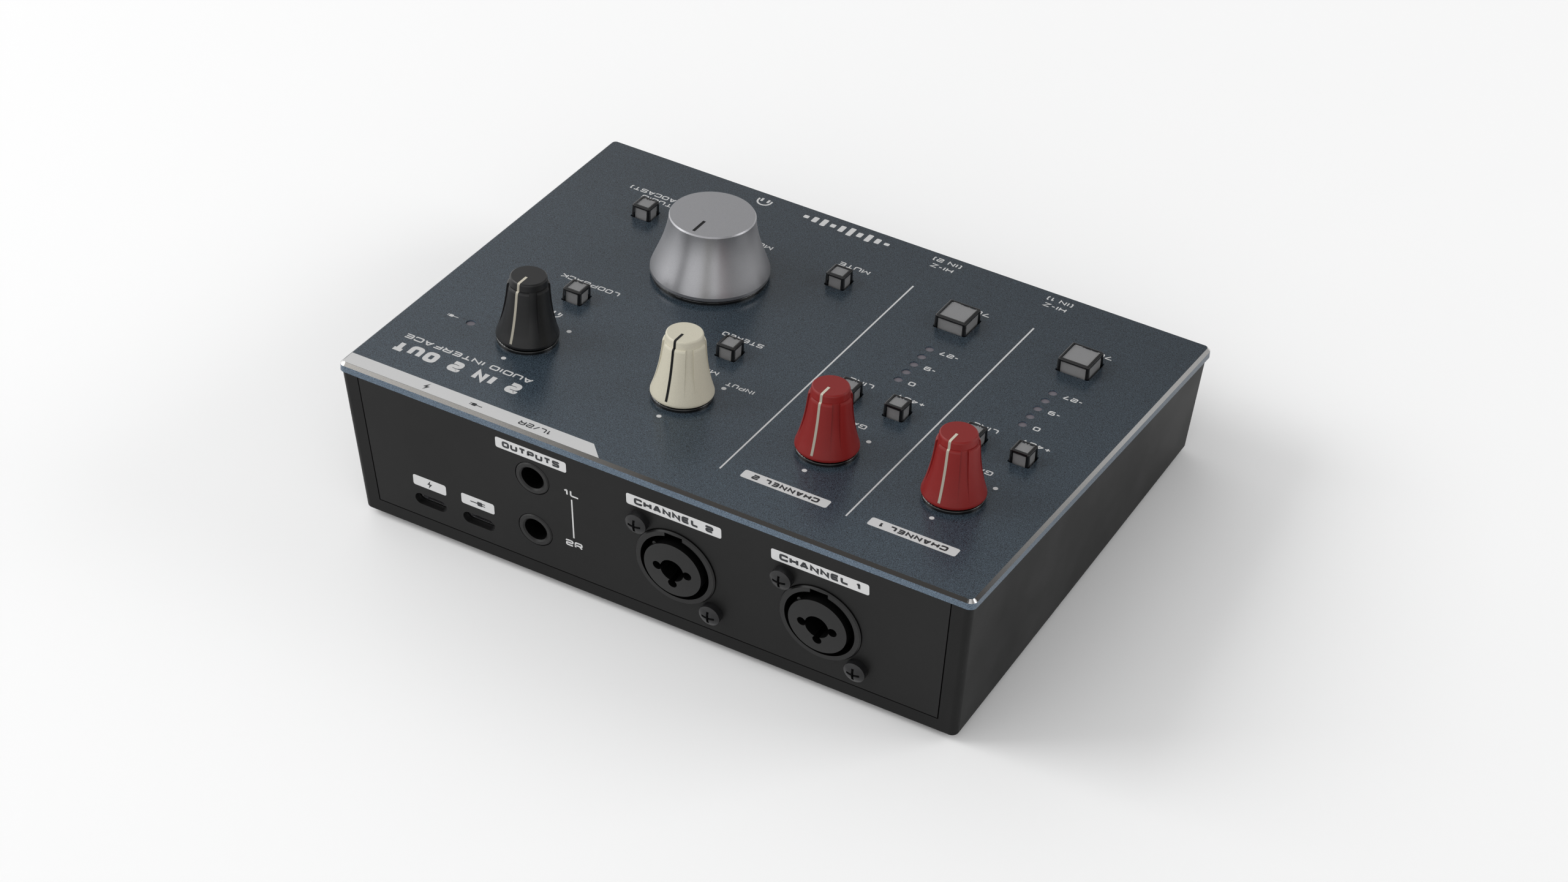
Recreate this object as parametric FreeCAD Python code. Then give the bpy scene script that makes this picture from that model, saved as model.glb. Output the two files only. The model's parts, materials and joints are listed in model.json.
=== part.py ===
import FreeCAD, Part
import math
import os

# Desktop audio interface with a sloping control deck.  Millimetres and degrees.
# Part frame: +X to the user's right, -Y towards the user, +Z up, feet on Z = 0.
# Deck frame: origin at the centre of the top plate's upper face, Z along its normal.

# ---- driving dimensions: enclosure ----
TILT = 7.34
PLATE_W = 180.0
PLATE_D = 130.8
PLATE_T = 2.6
PLATE_R = 1.9
PLATE_CHAMFER = 0.8
SIDE_HALF = 89.4
SIDE_DRAFT = 0.0853
REAR_Y = 65.2
FRONT_Y = -64.4
FRONT_DRAFT = 0.0328
BODY_R = 1.8
DECK_H = 38.09
FOOT_H = 2.0
FOOT_R = 6.0
WALL = 2.6
PANEL_WALL = 3.6
FLOOR_T = 2.4
REACH_REAR = 2.0

# ---- rear and front panels: half widths at top and bottom, and height ----
PANEL_T = 2.0
PANEL_GAP = 0.3
REAR_TOP_HALF = 84.0
REAR_LOW_HALF = 80.7
REAR_PANEL_H = 39.5
FRONT_TOP_HALF = 84.0
FRONT_LOW_HALF = 82.0
FRONT_PANEL_H = 23.2

# ---- sockets: (distance to the left seen from behind is +X, depth below the plate) ----
COMBO = {"combo_1": (-48.6, 22.7), "combo_2": (-7.85, 22.7)}
RING_R = 11.35
RING_PROUD = 0.7
RING_BORE_R = 9.75
KEY_W = 5.0
INSERT_R = 8.1
INSERT_PROUD = 1.7
JACK_BORE_R = 3.3
PIN_R = 1.25
PIN_PITCH_R = 4.25
SOCKET_DEPTH = 14.0
HOUSING_R = 11.9
HOUSING_DEPTH = 22.0
SCREW_DX = 10.15
SCREW_DZ = 10.65
SCREW_HEAD_R = 2.9
SCREW_PROUD = 2.7
OUT_JACK = {"output_jack_1": (33.2, 11.8), "output_jack_2": (33.2, 28.9)}
FERRULE_R = 4.82
PLUG_BORE_R = 3.25
JACK_DEPTH = 20.0
USB = {"usb_port_power": (64.8, 33.7), "usb_port_data": (50.3, 33.7)}
USB_SLOT_W = 9.5
USB_SLOT_H = 3.5
FRONT_JACK = {"instrument_jack_1": -48.0, "instrument_jack_2": -14.9, "headphone_jack": 39.9}
FRONT_JACK_H = 16.4

# ---- boards ----
BOARD_T = 1.6
CONTROL_Z = -10.6
MAIN_Z = 10.5

# ---- controls on the deck: name, x, y ----
KNOBS = {"gain_1": (-65.6, 29.96), "gain_2": (-30.4, 29.96), "mix": (10.95, 29.96),
         "phones": (56.5, 29.96), "monitor": (33.8, -22.0)}
SHAFT_R = 3.0
BUSHING_R = 3.5
BUTTON_TRAVEL = 1.5
BUTTON_H = 3.65
SMALL_CAP = 2.65
BIG_CAP = 4.4
BUTTONS = {"phantom_1": (-72.6, 6.8, SMALL_CAP), "line_1": (-58.65, 6.8, SMALL_CAP),
           "phantom_2": (-37.4, 6.8, SMALL_CAP), "line_2": (-23.45, 6.8, SMALL_CAP),
           "stereo": (10.6, 7.2, SMALL_CAP), "loopback": (56.2, 7.2, SMALL_CAP),
           "mute": (4.0, -37.3, SMALL_CAP), "studio": (62.7, -37.3, SMALL_CAP),
           "input_1": (-65.8, -37.6, BIG_CAP), "input_2": (-30.6, -37.6, BIG_CAP)}
METER_X = (-65.5, -30.35)
METER_Y = (-6.7, -10.83, -14.96, -19.09, -23.22)
LED_R = 1.15
POWER_LED = (72.1, 32.2)

# Small knob: radius and height of the ribs, of the cap above them, and of the channels between.
SKIRT = [(7.9, 1.3), (8.08, 1.6), (8.06, 2.0), (7.74, 3.0), (7.42, 4.0), (6.9, 6.0), (6.47, 8.0),
         (6.12, 10.0), (5.85, 12.0), (5.64, 14.0), (5.48, 16.0), (5.36, 16.4), (5.05, 16.6)]
CAP = [(4.85, 16.62), (4.78, 18.3), (4.68, 18.6), (4.42, 18.8)]
CHANNEL = [(7.72, 3.0), (6.85, 5.8), (6.25, 8.0), (5.82, 10.0), (5.5, 12.0), (5.25, 14.0), (4.9, 16.7)]
CHANNEL_AT = (45.0, 112.5, 180.0, 247.5, 315.0)
CHANNEL_HALF = 11.0
SKIRT_CURVE = (2, 9)
MONITOR_CURVE = (2, 12)
MONITOR = [(15.45, 1.2), (15.65, 1.5), (15.65, 2.3), (15.05, 4.0), (14.45, 5.5), (13.87, 7.0),
           (13.33, 8.5), (12.83, 10.0), (12.38, 11.5), (12.0, 13.0), (11.69, 14.5),
           (11.43, 16.2), (11.3, 17.7), (11.05, 18.1)]

STUDS = [(-78.0, 53.0), (78.0, 53.0), (-78.5, -54.0), (78.5, -54.0)]
BOARD_STUDS = [(-31.5, -50.0), (-48.0, 31.0), (26.0, 33.0), (80.0, -42.0), (80.0, 26.0)]
FLOOR_POSTS = [(-60.0, -30.0), (60.0, -30.0), (-64.0, 36.0), (62.0, 36.0)]
FEET = [(-68.0, -46.0), (68.0, -46.0), (-68.0, 46.0), (68.0, 46.0)]

V = FreeCAD.Vector
X_AXIS = V(1, 0, 0)
Y_AXIS = V(0, 1, 0)
Z_AXIS = V(0, 0, 1)
SIN = math.sin(math.radians(TILT))
COS = math.cos(math.radians(TILT))


def frames():
    """Placements of the deck, the rear panel and the front panel in the part frame."""
    rear = V(0, REAR_Y * COS + PLATE_T * SIN, REAR_Y * SIN - PLATE_T * COS)
    front_edge = -PLATE_D / 2 * COS
    shift_y = -(rear.y + REACH_REAR + front_edge) / 2
    base = V(0, shift_y, DECK_H + FOOT_H)
    deck = FreeCAD.Placement(base, FreeCAD.Rotation(X_AXIS, TILT))
    back = FreeCAD.Placement(base + rear, FreeCAD.Rotation())
    lean = math.degrees(math.atan(FRONT_DRAFT))
    local = FreeCAD.Placement(V(0, FRONT_Y, -PLATE_T), FreeCAD.Rotation(X_AXIS, lean))
    return deck, back, deck.multiply(local)


DECK, BACK, FRONT = frames()


def place(shape, placement):
    """Copy of a shape moved from a local frame into the part frame."""
    out = shape.copy()
    out.Placement = placement.multiply(out.Placement)
    return out


def box(x0, x1, y0, y1, z0, z1):
    return Part.makeBox(x1 - x0, y1 - y0, z1 - z0, V(x0, y0, z0))


def rod(r, x, y, z0, z1):
    return Part.makeCylinder(r, z1 - z0, V(x, y, z0), Z_AXIS)


def rod_y(r, x, z, y0, y1):
    return Part.makeCylinder(r, y1 - y0, V(x, y0, z), Y_AXIS)


def join(shapes):
    """One solid from touching or overlapping shapes."""
    out = shapes[0]
    if len(shapes) > 1:
        out = out.fuse(shapes[1:])
    return out.removeSplitter()


def cut(shape, tools):
    return shape.cut(tools) if tools else shape


def rounded_wire(x0, x1, y0, y1, z, r):
    """Closed outline of a rounded rectangle."""
    corners = [(x1 - r, y1 - r, 0), (x0 + r, y1 - r, 90), (x0 + r, y0 + r, 180), (x1 - r, y0 + r, 270)]
    edges = []
    ends = []
    for cx, cy, start in corners:
        pts = []
        for a in (start, start + 45, start + 90):
            t = math.radians(a)
            pts.append(V(cx + r * math.cos(t), cy + r * math.sin(t), z))
        edges.append(Part.Arc(pts[0], pts[1], pts[2]).toShape())
        ends.append((pts[0], pts[2]))
    sides = []
    for i in range(4):
        sides.append(edges[i])
        sides.append(Part.makeLine(ends[i][1], ends[(i + 1) % 4][0]))
    return Part.Wire(sides)


def rounded_prism(half_x, half_y, z0, z1, r, x=0.0, y=0.0):
    wire = rounded_wire(x - half_x, x + half_x, y - half_y, y + half_y, z0, r)
    return Part.Face(wire).extrude(V(0, 0, z1 - z0))


def tapered(half_low, half_high, z0, z1, r, x, y):
    """Square block with rounded corners that narrows upwards."""
    low = rounded_wire(x - half_low, x + half_low, y - half_low, y + half_low, z0, r)
    top = rounded_wire(x - half_high, x + half_high, y - half_high, y + half_high, z1, r)
    return Part.makeLoft([low, top], True, True)


def trapezoid(top_half, low_half, height, y0, y1, above=3.0):
    """Upright panel outline in a panel frame, reaching a little above the plate's underside."""
    slope = (top_half - low_half) / height
    pts = [V(-low_half, y0, -height), V(low_half, y0, -height),
           V(top_half + slope * above, y0, above), V(-top_half - slope * above, y0, above)]
    return Part.Face(Part.makePolygon(pts + [pts[0]])).extrude(V(0, y1 - y0, 0))


def below_deck(depth):
    """Everything lower than the given depth in the deck frame."""
    return place(box(-150, 150, -150, 150, -150, -depth), DECK)


def above_floor(z):
    return box(-150, 150, -150, 150, z, 150)


def body_loft(inset, inset_y, radius):
    """The drafted body outline, inset from its outer faces, from the plate downwards."""
    wires = []
    for h in (0.0, 50.0):
        half = SIDE_HALF - SIDE_DRAFT * h - inset
        rear = REAR_Y - math.tan(math.radians(TILT)) * h - inset_y
        front = FRONT_Y + FRONT_DRAFT * h + inset_y
        wires.append(rounded_wire(-half, half, front, rear, -PLATE_T - h, radius))
    return place(Part.makeLoft(wires, True, True), DECK)


def revolve(points, first, last):
    """Solid of revolution about Z through (radius, height) points, closed on the axis.

    A smooth curve runs through the points numbered first to last; the rest are joined by lines.
    """
    pts = [V(r, 0, z) for r, z in points]
    curve = Part.BSplineCurve()
    curve.interpolate(pts[first:last + 1])
    ring = [V(0, 0, points[0][1])] + pts[:first + 1]
    edges = [Part.makeLine(a, b) for a, b in zip(ring, ring[1:])]
    edges.append(curve.toShape())
    ring = pts[last:] + [V(0, 0, points[-1][1])]
    edges += [Part.makeLine(a, b) for a, b in zip(ring, ring[1:])]
    edges.append(Part.makeLine(ring[-1], V(0, 0, points[0][1])))
    return Part.Face(Part.Wire(edges)).revolve(V(0, 0, 0), Z_AXIS, 360)


def top_plate():
    plate = rounded_prism(PLATE_W / 2, PLATE_D / 2, -PLATE_T, 0, PLATE_R)
    rim = [e for e in plate.Edges if abs(e.BoundBox.ZMin) < 1e-6 and abs(e.BoundBox.ZMax) < 1e-6]
    plate = plate.makeChamfer(PLATE_CHAMFER, rim)
    posts = [rod(3.0, x, y, -PLATE_T - 5, -PLATE_T + 0.5) for x, y in STUDS]
    posts += [rod(2.5, x, y, CONTROL_Z, -PLATE_T + 0.5) for x, y in BOARD_STUDS]
    plate = join([plate] + posts)
    holes = [rod(BUSHING_R + 0.1, x, y, -9, 1) for x, y in KNOBS.values()]
    for x, y, half in BUTTONS.values():
        holes.append(rounded_prism(half + 0.35, half + 0.35, -9, 1, 0.55, x, y))
    holes += [rod(LED_R + 0.05, x, y, -9, 1) for x in METER_X for y in METER_Y]
    holes.append(rod(LED_R + 0.1, POWER_LED[0], POWER_LED[1], -9, 1))
    holes += [rod(1.3, x, y, -9, -PLATE_T + 1.2) for x, y in STUDS]
    holes += [rod(1.1, x, y, -12, -6) for x, y in BOARD_STUDS]
    return place(cut(plate, holes), DECK)


def case_body():
    outer = body_loft(0, 0, BODY_R).common(above_floor(FOOT_H))
    rim = [e for e in outer.Edges if e.BoundBox.ZMax < FOOT_H + 0.01]
    outer = outer.makeFillet(0.35, rim)
    inner = body_loft(WALL, PANEL_WALL, 1.5).common(above_floor(FOOT_H + FLOOR_T))
    tub = outer.cut(inner)
    posts = []
    bores = []
    floor = FOOT_H + FLOOR_T
    for x, y in STUDS:
        foot = DECK.multVec(V(x, y, -PLATE_T))
        posts.append(rod(4.2, x, foot.y, FOOT_H + 1, foot.z).common(below_deck(PLATE_T + 5.05)))
        bores.append(rod(1.7, x, foot.y, 0, foot.z + 2))
        bores.append(rod(3.1, x, foot.y, 0, foot.z - 13))
    for x, y in FLOOR_POSTS:
        posts.append(rod(3.0, x, y, floor - 0.5, MAIN_Z - BOARD_T))
        bores.append(rod(1.1, x, y, floor + 0.5, MAIN_Z))
    tub = join([tub] + posts)
    tub = tub.cut(bores)
    ledge = 2.0
    pockets = []
    for frame, out, size in ((BACK, 1, (REAR_TOP_HALF, REAR_LOW_HALF, REAR_PANEL_H)),
                             (FRONT, -1, (FRONT_TOP_HALF, FRONT_LOW_HALF, FRONT_PANEL_H))):
        top, low, height = size
        seat = trapezoid(top + PANEL_GAP, low + PANEL_GAP, height + PANEL_GAP, -PANEL_T * out, 2 * out)
        way = trapezoid(top - ledge, low - ledge, height - ledge, -5 * out, 2 * out)
        pockets += [place(seat, frame), place(way, frame)]
    return tub.cut(pockets)


def rear_panel():
    body = trapezoid(REAR_TOP_HALF, REAR_LOW_HALF, REAR_PANEL_H, -PANEL_T, 0)
    holes = []
    for x, h in COMBO.values():
        holes.append(rod_y(RING_R + 0.1, x, -h, -5, 5))
        for s in (-1, 1):
            holes.append(rod_y(1.5, x + s * SCREW_DX, -h + s * SCREW_DZ, -5, 5))
    holes += [rod_y(FERRULE_R + 0.18, x, -h, -5, 5) for x, h in OUT_JACK.values()]
    for x, h in USB.values():
        holes.append(slot_y(USB_SLOT_W, USB_SLOT_H, x, -h, -5, 5))
    return place(cut(body, holes), BACK).common(below_deck(PLATE_T + 0.03))


def front_panel():
    body = trapezoid(FRONT_TOP_HALF, FRONT_LOW_HALF, FRONT_PANEL_H, 0, PANEL_T)
    holes = [rod_y(FERRULE_R + 0.18, x, -FRONT_JACK_H, -5, 5) for x in FRONT_JACK.values()]
    return place(cut(body, holes), FRONT).common(below_deck(PLATE_T + 0.03))


def slot_y(width, height, x, z, y0, y1):
    """Stadium-shaped prism along Y."""
    r = height / 2
    a = width / 2 - r
    mid = box(x - a, x + a, y0, y1, z - r, z + r)
    return join([mid, rod_y(r, x - a, z, y0, y1), rod_y(r, x + a, z, y0, y1)])


def combo_housing(x, h):
    """Barrel, mounting flange and keyed front ring of a combined socket."""
    back = -PANEL_T
    flange = box(-13.1, 13.1, back - 2, back, -12.3, 13.1)
    ring = rod_y(RING_R, 0, 0, back, RING_PROUD)
    rim = [e for e in ring.Edges if abs(e.BoundBox.YMin - RING_PROUD) < 1e-6 and len(e.Vertexes) == 1]
    ring = ring.makeChamfer(0.35, rim)
    barrel = rod_y(HOUSING_R, 0, 0, back - HOUSING_DEPTH, back)
    lug = box(-9, 9, back - HOUSING_DEPTH, back - 6, -11.5, 11.5)
    body = join([flange, ring, barrel, lug])
    tools = [rod_y(RING_BORE_R, 0, 0, -SOCKET_DEPTH, 3)]
    tools.append(box(-KEY_W / 2, KEY_W / 2, -SOCKET_DEPTH, 3, 0, RING_BORE_R + 0.85))
    for s in (-1, 1):
        tools.append(rod_y(1.2, s * SCREW_DX, s * SCREW_DZ, -9, 3))
    for px, pz in pin_points():
        tools.append(rod_y(0.98, px, pz, -30, 3))
    out = body.cut(tools)
    out.translate(V(x, 0, -h))
    return place(out, BACK)


def pin_points():
    r = PIN_PITCH_R
    return [(-r, 0.0), (r, 0.0), (0.0, -r)]


def combo_insert(x, h):
    """Central nose: jack bore with three pin holes around it and a slightly domed face."""
    nose = rod_y(INSERT_R, 0, 0, -SOCKET_DEPTH, INSERT_PROUD)
    dome_r = 110.0
    dome = Part.makeSphere(dome_r, V(0, INSERT_PROUD + 0.3 - dome_r, 0))
    rim = [e for e in nose.Edges if abs(e.BoundBox.YMin - INSERT_PROUD) < 1e-6 and len(e.Vertexes) == 1]
    nose = rod_y(INSERT_R, 0, 0, -SOCKET_DEPTH, INSERT_PROUD + 1).common(dome)
    nub = rod_y(0.55, 5.2, 6.35, -SOCKET_DEPTH, INSERT_PROUD - 0.5)
    nose = join([nose, nub])
    tools = [rod_y(JACK_BORE_R, 0, 0, -SOCKET_DEPTH + 0.8, 4)]
    for px, pz in pin_points():
        tools.append(rod_y(PIN_R, px, pz, -9, 4))
        tools.append(rod_y(0.98, px, pz, -30, -8))
    out = nose.cut(tools)
    out.translate(V(x, 0, -h))
    return place(out, BACK)


def combo_contacts():
    """Contact pins of both combined sockets, with tails behind the housings."""
    parts = []
    for x, h in COMBO.values():
        for px, pz in pin_points():
            parts.append(rod_y(0.92, x + px, -h + pz, -28, -9.5))
    return [place(p, BACK) for p in parts]


def pan_screw(length):
    """Cross-recessed pan screw along +Z, underside of the head at z = 0."""
    dome_r = 5.0
    head = rod(SCREW_HEAD_R, 0, 0, 0, SCREW_PROUD)
    head = head.common(Part.makeSphere(dome_r, V(0, 0, SCREW_PROUD - dome_r)))
    shank = rod(1.15, 0, 0, -length, 0.2)
    cross = [box(-1.8, 1.8, -0.34, 0.34, SCREW_PROUD - 1.2, 3), box(-0.34, 0.34, -1.8, 1.8, SCREW_PROUD - 1.2, 3)]
    return join([head, shank]).cut(cross)


def combo_screws():
    parts = []
    for x, h in COMBO.values():
        for s in (-1, 1):
            local = FreeCAD.Placement(V(x + s * SCREW_DX, 0, -h + s * SCREW_DZ), FreeCAD.Rotation(X_AXIS, -90))
            parts.append(place(pan_screw(6), BACK.multiply(local)))
    return parts


def jack(depth, proud, behind):
    """6.35 mm socket along +Y: threaded ferrule and a box that starts behind the panel."""
    ferrule = rod_y(FERRULE_R, 0, 0, -behind - 1.0, proud)
    rim = [e for e in ferrule.Edges if abs(e.BoundBox.YMin - proud) < 1e-6 and len(e.Vertexes) == 1]
    ferrule = ferrule.makeChamfer(0.3, rim)
    shell = box(-7.2, 7.2, -behind - depth, -behind, -5.7, 5.7)
    mouth = Part.makeCone(PLUG_BORE_R, PLUG_BORE_R + 0.5, 0.5, V(0, proud - 0.4, 0), Y_AXIS)
    return join([ferrule, shell]).cut([rod_y(PLUG_BORE_R, 0, 0, -depth, 3), mouth])


def output_jack(x, h):
    out = jack(JACK_DEPTH, 0.25, PANEL_T + 0.1)
    out.translate(V(x, 0, -h))
    return place(out, BACK)


def front_jack(x):
    out = jack(JACK_DEPTH - 2, 0.25, PANEL_WALL + 0.1)
    out.rotate(V(0, 0, 0), Z_AXIS, 180)
    out.translate(V(x, 0, -FRONT_JACK_H))
    return place(out, FRONT)


def usb_port(x, h):
    """USB-C receptacle: thin shell, contact tongue and solder base."""
    shell = slot_y(8.94, 3.2, x, -h, -8.2, -2.05).cut(slot_y(8.34, 2.56, x, -h, -6.9, 1))
    tongue = box(x - 3.35, x + 3.35, -7.5, -2.9, -h - 0.35, -h + 0.35)
    legs = [box(x + s * 4.35 - 0.35, x + s * 4.35 + 0.35, -7.8, -5.4, -h - 1.64, -h - 0.6) for s in (-1, 1)]
    return place(join([shell, tongue] + legs), BACK)


def boards():
    """Control board under the deck and main board over the floor."""
    control = box(-84, 84, -58, 38, CONTROL_Z - BOARD_T, CONTROL_Z)
    holes = [rod(1.3, x, y, -20, 0) for x, y in BOARD_STUDS]
    holes += [rod(6.0, x, y, -20, 0) for x, y in STUDS]
    control = place(control.cut(holes), DECK)
    main = box(-72, 72, -38, 57, MAIN_Z - BOARD_T, MAIN_Z)
    main = main.cut([rod(1.3, x, y, 0, 20) for x, y in FLOOR_POSTS])
    return control, main


def board_components():
    parts = []
    for x, y, half_x, half_y, tall in ((-20, -8, 7, 7, 1.4), (28, 6, 6, 6, 1.2), (50, 28, 5, 4, 1.1),
                                       (-45, 4, 4, 6, 1.5), (8, 24, 3.2, 4, 1.5), (40, -22, 5, 3, 1.2)):
        parts.append(box(x - half_x, x + half_x, y - half_y, y + half_y, MAIN_Z, MAIN_Z + tall))
    for i in range(6):
        parts.append(rod(3.0, -8 + 9.0 * i, -29.0, MAIN_Z, MAIN_Z + 7.5))
        parts.append(box(-60 + 9 * i, -55 + 9 * i, 12, 15, MAIN_Z, MAIN_Z + 2))
    parts.append(box(62, 66, -18, 12, MAIN_Z, MAIN_Z + 5))
    header = box(62, 66, -20, 10, CONTROL_Z - BOARD_T - 4, CONTROL_Z - BOARD_T)
    parts.append(place(header, DECK))
    return parts


def case_screws():
    """Four case screws in the corner posts and the screws that hold both boards."""
    parts = []
    for x, y in STUDS:
        tip = DECK.multVec(V(x, y, -PLATE_T))
        local = FreeCAD.Placement(V(x, tip.y, tip.z - 13), FreeCAD.Rotation(X_AXIS, 180))
        parts.append(place(pan_screw(7.2), local))
    for x, y in BOARD_STUDS:
        local = FreeCAD.Placement(V(x, y, CONTROL_Z - BOARD_T), FreeCAD.Rotation(X_AXIS, 180))
        parts.append(place(small_screw(), DECK.multiply(local)))
    for x, y in FLOOR_POSTS:
        parts.append(place(small_screw(), FreeCAD.Placement(V(x, y, MAIN_Z), FreeCAD.Rotation())))
    return parts


def small_screw():
    head = rod(2.2, 0, 0, 0, 1.4).cut(box(-1.2, 1.2, -0.25, 0.25, 0.8, 2))
    return join([head, rod(1.05, 0, 0, -5, 0.2)])


def rubber_feet():
    parts = []
    for x, y in FEET:
        foot = rod(FOOT_R, x, y, 0, FOOT_H)
        rim = [e for e in foot.Edges if e.BoundBox.ZMax < 0.01 and len(e.Vertexes) == 1]
        parts.append(foot.makeFillet(0.5, rim))
    return parts


def pot_bodies():
    parts = []
    for name, (x, y) in KNOBS.items():
        half = 7.0 if name == "monitor" else 5.6
        body = box(x - half, x + half, y - half, y + half, CONTROL_Z, -3.6)
        body = join([body, rod(BUSHING_R, x, y, -3.7, -0.1)])
        parts.append(place(body.cut(rod(SHAFT_R + 0.06, x, y, CONTROL_Z + 1, 1)), DECK))
    return parts


def switch_bodies():
    """Switch boxes with a square well for each button's stem."""
    parts = []
    for x, y, half in BUTTONS.values():
        body = box(x - 3.1, x + 3.1, y - 3.1, y + 3.1, CONTROL_Z, -6.35)
        parts.append(place(body.cut(box(x - 1.7, x + 1.7, y - 1.7, y + 1.7, CONTROL_Z + 0.4, 0)), DECK))
    return parts


def led_lenses():
    spots = [(x, y) for x in METER_X for y in METER_Y] + [POWER_LED]
    parts = []
    for x, y in spots:
        lens = join([rod(LED_R, x, y, -8.0, -0.3), rod(1.5, x, y, CONTROL_Z, -8.0)])
        parts.append(place(lens, DECK))
    return parts


def dress_rings():
    parts = []
    for name, (x, y) in KNOBS.items():
        r = 15.2 if name == "monitor" else 7.9
        ring = rod(r, x, y, 0, 0.9)
        ring = ring.makeFillet(0.3, [e for e in ring.Edges if e.BoundBox.ZMin > 0.89 and e.Closed])
        ring = ring.cut(rod(BUSHING_R + 0.5, x, y, -1, 2))
        parts.append(place(ring, DECK))
    return parts


def channel_tool(angle):
    """Cutter for one channel between two ribs, an angle round from the pointer."""
    outside = rod(12, 0, 0, CHANNEL[0][1], CHANNEL[-1][1]).cut(revolve(CHANNEL, 0, len(CHANNEL) - 1))
    pts = [V(0, 0, 0)]
    for a in (angle - CHANNEL_HALF, angle + CHANNEL_HALF):
        t = math.radians(90 + a)
        pts.append(V(20 * math.cos(t), 20 * math.sin(t), 0))
    wedge = Part.Face(Part.makePolygon(pts + [pts[0]])).extrude(V(0, 0, 30))
    return outside.common(wedge)


def small_knob(name):
    """Ribbed knob with a stepped cap, its inlaid pointer and its shaft."""
    outline = SKIRT + CAP
    body = revolve(outline, *SKIRT_CURVE)
    inner = revolve([(r - 0.5, z - (0.4 if z > 18 else 0)) for r, z in outline], *SKIRT_CURVE)
    proud = revolve([(r + 0.04, z + (0.04 if z > 18 else 0)) for r, z in outline], *SKIRT_CURVE)
    slot = box(-0.34, 0.34, 1.0, 9.0, 2.5, 20.0)
    pointer = proud.cut(inner).common(slot)
    channels = [channel_tool(angle) for angle in CHANNEL_AT]
    recess = rod(6.3, 0, 0, 0, 2.6).cut(rod(4.4, 0, 0, 0, 3))
    hole = rod(SHAFT_R + 0.02, 0, 0, 0, 14.0)
    body = body.cut(channels + [slot.cut(inner), recess, hole])
    return to_knob(name, body), to_knob(name, pointer), to_knob(name, knob_shaft())


def monitor_knob():
    body = revolve(MONITOR, *MONITOR_CURVE)
    groove = box(-0.42, 0.42, 4.0, 9.7, 17.7, 19)
    recess = rod(12.8, 0, 0, 0, 4.0).cut(rod(5.0, 0, 0, 0, 5))
    hole = rod(SHAFT_R + 0.02, 0, 0, 0, 14.0)
    body = body.cut([groove, recess, hole])
    return to_knob("monitor", body), to_knob("monitor", knob_shaft())


def knob_shaft():
    """Shaft with a flat near its tip, where the knob presses on."""
    shaft = rod(SHAFT_R, 0, 0, CONTROL_Z + 1.3, 13.8)
    return shaft.cut(box(-4, 4, -4, -SHAFT_R + 0.6, 4.5, 20))


def to_knob(name, shape):
    x, y = KNOBS[name]
    out = shape.copy()
    out.translate(V(x, y, 0))
    return place(out, DECK)


def button_cap(x, y, half):
    """Clear outer cap with a lip under the plate, hollow for the core."""
    low = half + 0.1
    skirt = tapered(low, half, 0, BUTTON_H, 0.45, x, y)
    edge = [e for e in skirt.Edges if e.BoundBox.ZMin > BUTTON_H - 0.01]
    skirt = skirt.makeFillet(0.4, edge)
    stem = rounded_prism(low, low, -3.0, 0, 0.45, x, y)
    lip = rounded_prism(half + 1.3, half + 1.3, -4.0, -PLATE_T - 0.32, 0.6, x, y)
    body = join([skirt, stem, lip])
    return place(body.cut(core_block(x, y, half, 0.02)), DECK)


def core_block(x, y, half, grow):
    """Block whose flat faces lie close under the cap's, set back along every edge."""
    wide = half - 0.35 + grow
    flat = half - 0.8 + grow
    side = BUTTON_H - 0.7 + grow
    return join([box(x - wide, x + wide, y - flat, y + flat, -4.4, side),
                 box(x - flat, x + flat, y - wide, y + wide, -4.4, side),
                 box(x - flat, x + flat, y - flat, y + flat, -4.4, BUTTON_H - 0.3 + grow)])


def button_core(x, y, half):
    """Opaque core that shows through the cap, with the stem that works the switch."""
    stem = box(x - 1.2, x + 1.2, y - 1.2, y + 1.2, -8.4, -4.2)
    return place(join([core_block(x, y, half, 0), stem]), DECK)


def build():
    """Every node of the assembly, by name."""
    nodes = {"top_plate": top_plate(), "case_body": case_body(), "rear_panel": rear_panel(),
             "front_panel": front_panel()}
    for name, (x, h) in COMBO.items():
        nodes[name.replace("combo", "combo_housing")] = combo_housing(x, h)
        nodes[name.replace("combo", "combo_insert")] = combo_insert(x, h)
    nodes["combo_contacts"] = combo_contacts()
    nodes["combo_screws"] = combo_screws()
    for name, (x, h) in OUT_JACK.items():
        nodes[name] = output_jack(x, h)
    for name, x in FRONT_JACK.items():
        nodes[name] = front_jack(x)
    for name, (x, h) in USB.items():
        nodes[name] = usb_port(x, h)
    nodes["control_board"], nodes["main_board"] = boards()
    nodes["board_components"] = board_components()
    nodes["case_screws"] = case_screws()
    nodes["rubber_feet"] = rubber_feet()
    nodes["pot_bodies"] = pot_bodies()
    nodes["switch_bodies"] = switch_bodies()
    nodes["led_lenses"] = led_lenses()
    nodes["dress_rings"] = dress_rings()
    for name in KNOBS:
        if name == "monitor":
            nodes["knob_monitor"], nodes["shaft_monitor"] = monitor_knob()
        else:
            knob, pointer, shaft = small_knob(name)
            nodes["knob_" + name] = knob
            nodes["pointer_" + name] = pointer
            nodes["shaft_" + name] = shaft
    for name, (x, y, half) in BUTTONS.items():
        nodes["button_cap_" + name] = button_cap(x, y, half)
        nodes["button_core_" + name] = button_core(x, y, half)
    return nodes


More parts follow.
